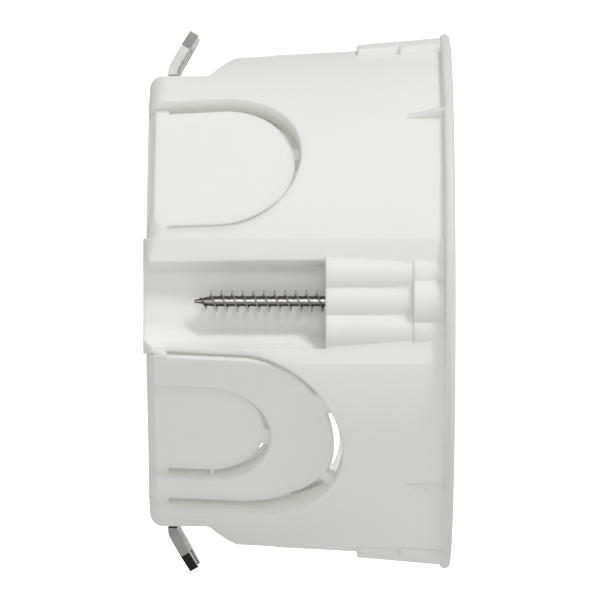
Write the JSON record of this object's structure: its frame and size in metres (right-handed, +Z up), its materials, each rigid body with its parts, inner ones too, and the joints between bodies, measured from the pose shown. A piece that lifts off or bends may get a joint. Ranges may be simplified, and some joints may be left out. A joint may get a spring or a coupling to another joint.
{
  "type": "flush mounting box",
  "caption": "Round flush mounting box for hollow walls, with a thin flange, tubular screw bosses, U-shaped knock-outs, device screws and metal spreading claws on long screws.",
  "frame": {"origin": "on the barrel's axis, in the rear plane of the flange, where it seats on the wall", "axes": "+Y into the wall, towards the back of the box; the mouth faces -Y; +Z up, through the top claw; device screws at +X and -X"},
  "size_m": [0.071, 0.04, 0.0714],
  "materials": {
    "moulding": "fine satin",
    "device_screw": "bright",
    "claw": "satin",
    "claw_screw": "zinc plated"
  },
  "bodies": {
    "shell": {"box_shell": "moulding"},
    "screw_left": {"device_screw_left": "device_screw"},
    "screw_right": {"device_screw_right": "device_screw"},
    "spindle_top": {"claw_screw_top": "claw_screw"},
    "spindle_bottom": {"claw_screw_bottom": "claw_screw"},
    "nut_top": {"claw_nut_top": "claw_screw"},
    "nut_bottom": {"claw_nut_bottom": "claw_screw"},
    "claw_upper": {"claw_top": "claw"},
    "claw_lower": {"claw_bottom": "claw"}
  },
  "joints": [
    {"name": "device_screw_left_back_out", "type": "slide", "parent": "shell", "child": "screw_left", "axis": [0, -1, 0], "range_m": [0, 0.008]},
    {"name": "device_screw_right_back_out", "type": "slide", "parent": "shell", "child": "screw_right", "axis": [0, -1, 0], "range_m": [0, 0.008]},
    {"name": "claw_screw_top_turn", "type": "hinge", "parent": "shell", "child": "spindle_top", "pos_m": [0, 0.01875, 0.0242], "axis": [0, 1, 0], "range_deg": [0, 6000]},
    {"name": "claw_nut_top_slide", "type": "slide", "parent": "shell", "child": "nut_top", "axis": [0, -1, 0], "range_m": [0, 0.0101]},
    {"name": "claw_top_climb", "type": "slide", "parent": "shell", "child": "claw_upper", "axis": [0, -0.9409, 0.3387], "range_m": [0, 0.0106]},
    {"name": "claw_screw_bottom_turn", "type": "hinge", "parent": "shell", "child": "spindle_bottom", "pos_m": [0, 0.01875, -0.0242], "axis": [0, 1, 0], "range_deg": [0, 6000]},
    {"name": "claw_nut_bottom_slide", "type": "slide", "parent": "shell", "child": "nut_bottom", "axis": [0, -1, 0], "range_m": [0, 0.0101]},
    {"name": "claw_bottom_climb", "type": "slide", "parent": "shell", "child": "claw_lower", "axis": [0, -0.9409, -0.3387], "range_m": [0, 0.0106]}
  ],
  "couplings": [
    {"joint": "claw_screw_top_turn", "follows": "claw_top_climb", "rad_per_m": 9852.9},
    {"joint": "claw_nut_top_slide", "follows": "claw_top_climb", "ratio": 0.94089},
    {"joint": "claw_screw_bottom_turn", "follows": "claw_bottom_climb", "rad_per_m": 9852.9},
    {"joint": "claw_nut_bottom_slide", "follows": "claw_bottom_climb", "ratio": 0.94089}
  ]
}
